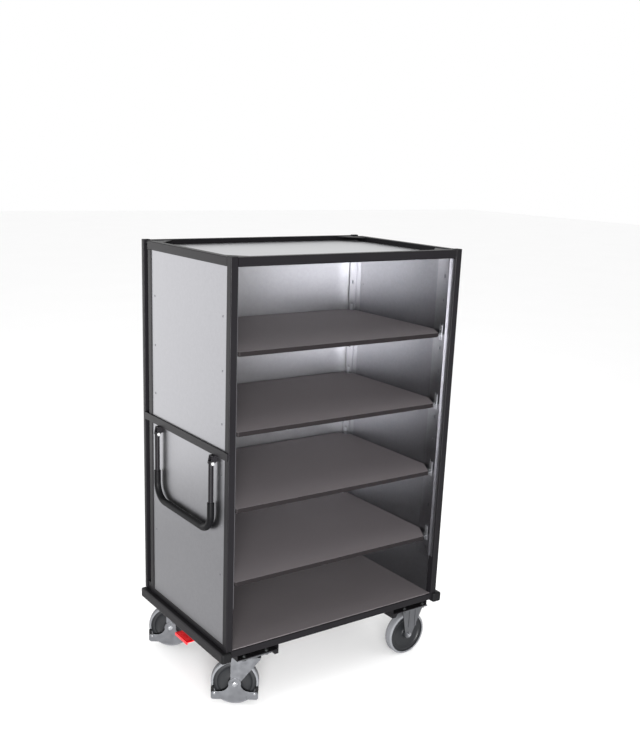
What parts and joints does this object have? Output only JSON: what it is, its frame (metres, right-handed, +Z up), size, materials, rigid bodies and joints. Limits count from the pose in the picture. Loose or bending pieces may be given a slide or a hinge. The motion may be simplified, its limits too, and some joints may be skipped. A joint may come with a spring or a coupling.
{
  "type": "shelf trolley",
  "caption": "Tall steel trolley with lift-out shelves between sheet end walls, an open front, a fold-down push handle, and swivel and fixed castors.",
  "frame": {"origin": "on the floor, under the middle of the frame's length and depth", "axes": "+Z up, +X along the length away from the handle end, -Y out of the open front"},
  "size_m": [1.143, 0.7465, 1.812],
  "materials": {
    "frame_paint": "satin powder coat, dark grey",
    "galvanised_sheet": "galvanised, satin",
    "shelf_board": "board faced with a matte brown-grey film",
    "deck_coating": "fine-textured coating, brown-grey",
    "zinc_steel": "zinc plated",
    "black_plastic": "matte, black",
    "wheel_plastic": "matte, dark grey",
    "grey_tyre": "matte, non-marking grey",
    "pedal_red": "gloss, red"
  },
  "bodies": {
    "frame": {"post_front_left": "frame_paint", "post_front_right": "frame_paint", "post_rear_left": "frame_paint", "post_rear_right": "frame_paint", "back_posts": "frame_paint", "top_rail_left": "frame_paint", "top_rail_right": "frame_paint", "top_rail_front": "frame_paint", "top_rail_rear": "frame_paint", "side_crossbar": "frame_paint", "side_sills": "frame_paint", "tube_caps": "black_plastic", "corner_gussets": "frame_paint", "frame_links": "frame_paint", "foot_links": "frame_paint", "end_bars": "frame_paint", "base_rails": "frame_paint", "bumper_caps": "black_plastic", "castor_channels": "frame_paint", "panels_left": "galvanised_sheet", "panel_right": "galvanised_sheet", "wall_linings": "galvanised_sheet", "panel_rear": "galvanised_sheet", "top_panel": "galvanised_sheet", "deck": "deck_coating", "standards_left": "galvanised_sheet", "standards_right": "galvanised_sheet", "standard_rivets": "zinc_steel", "shelf_clips": "galvanised_sheet", "handle_brackets": "frame_paint", "handle_pins": "zinc_steel", "swivel_top_plates": "zinc_steel", "fixed_forks": "zinc_steel", "fixed_axles": "zinc_steel", "castor_bolts": "zinc_steel", "brake_hangers": "frame_paint"},
    "handle": {"handle_bail": "frame_paint", "handle_grip": "black_plastic"},
    "brake": {"brake_pedal": "pedal_red", "brake_shaft": "frame_paint"},
    "shelf_1": {"shelf_1": "shelf_board"},
    "shelf_2": {"shelf_2": "shelf_board"},
    "shelf_3": {"shelf_3": "shelf_board"},
    "shelf_4": {"shelf_4": "shelf_board"},
    "swivel_front": {"swivel_fork_front": "zinc_steel", "foot_guard_front": "zinc_steel", "guard_pads_front": "black_plastic", "swivel_axle_front": "zinc_steel"},
    "swivel_rear": {"swivel_fork_rear": "zinc_steel", "foot_guard_rear": "zinc_steel", "guard_pads_rear": "black_plastic", "swivel_axle_rear": "zinc_steel"},
    "wheel_left_front": {"wheel_centre_left_front": "wheel_plastic", "tyre_left_front": "grey_tyre"},
    "wheel_right_front": {"wheel_centre_right_front": "wheel_plastic", "tyre_right_front": "grey_tyre"},
    "wheel_left_rear": {"wheel_centre_left_rear": "wheel_plastic", "tyre_left_rear": "grey_tyre"},
    "wheel_right_rear": {"wheel_centre_right_rear": "wheel_plastic", "tyre_right_rear": "grey_tyre"}
  },
  "joints": [
    {"name": "handle_fold", "type": "hinge", "parent": "frame", "child": "handle", "pos_m": [-0.561, -0.03, 1.038], "axis": [0, 1, 0], "range_deg": [0, 95]},
    {"name": "brake_pedal_tilt", "type": "hinge", "parent": "frame", "child": "brake", "pos_m": [-0.485, 0, 0.221], "axis": [0, 1, 0], "range_deg": [-12, 12]},
    {"name": "shelf_1_lift", "type": "slide", "parent": "frame", "child": "shelf_1", "axis": [0, 0, 1], "range_m": [0, 0.06]},
    {"name": "shelf_2_lift", "type": "slide", "parent": "frame", "child": "shelf_2", "axis": [0, 0, 1], "range_m": [0, 0.06]},
    {"name": "shelf_3_lift", "type": "slide", "parent": "frame", "child": "shelf_3", "axis": [0, 0, 1], "range_m": [0, 0.06]},
    {"name": "shelf_4_lift", "type": "slide", "parent": "frame", "child": "shelf_4", "axis": [0, 0, 1], "range_m": [0, 0.06]},
    {"name": "swivel_front_turn", "type": "hinge", "parent": "frame", "child": "swivel_front", "pos_m": [-0.401, -0.302, 0.22], "axis": [0, 0, 1], "continuous": true},
    {"name": "wheel_left_front_roll", "type": "hinge", "parent": "swivel_front", "child": "wheel_left_front", "pos_m": [-0.44908, -0.26957, 0.098], "axis": [0.5592, 0.829, 0], "continuous": true},
    {"name": "wheel_right_front_roll", "type": "hinge", "parent": "frame", "child": "wheel_right_front", "pos_m": [0.422, -0.302, 0.098], "axis": [0, 1, 0], "continuous": true},
    {"name": "swivel_rear_turn", "type": "hinge", "parent": "frame", "child": "swivel_rear", "pos_m": [-0.401, 0.263, 0.22], "axis": [0, 0, 1], "continuous": true},
    {"name": "wheel_left_rear_roll", "type": "hinge", "parent": "swivel_rear", "child": "wheel_left_rear", "pos_m": [-0.44908, 0.29543, 0.098], "axis": [0.5592, 0.829, 0], "continuous": true},
    {"name": "wheel_right_rear_roll", "type": "hinge", "parent": "frame", "child": "wheel_right_rear", "pos_m": [0.422, 0.263, 0.098], "axis": [0, 1, 0], "continuous": true}
  ]
}
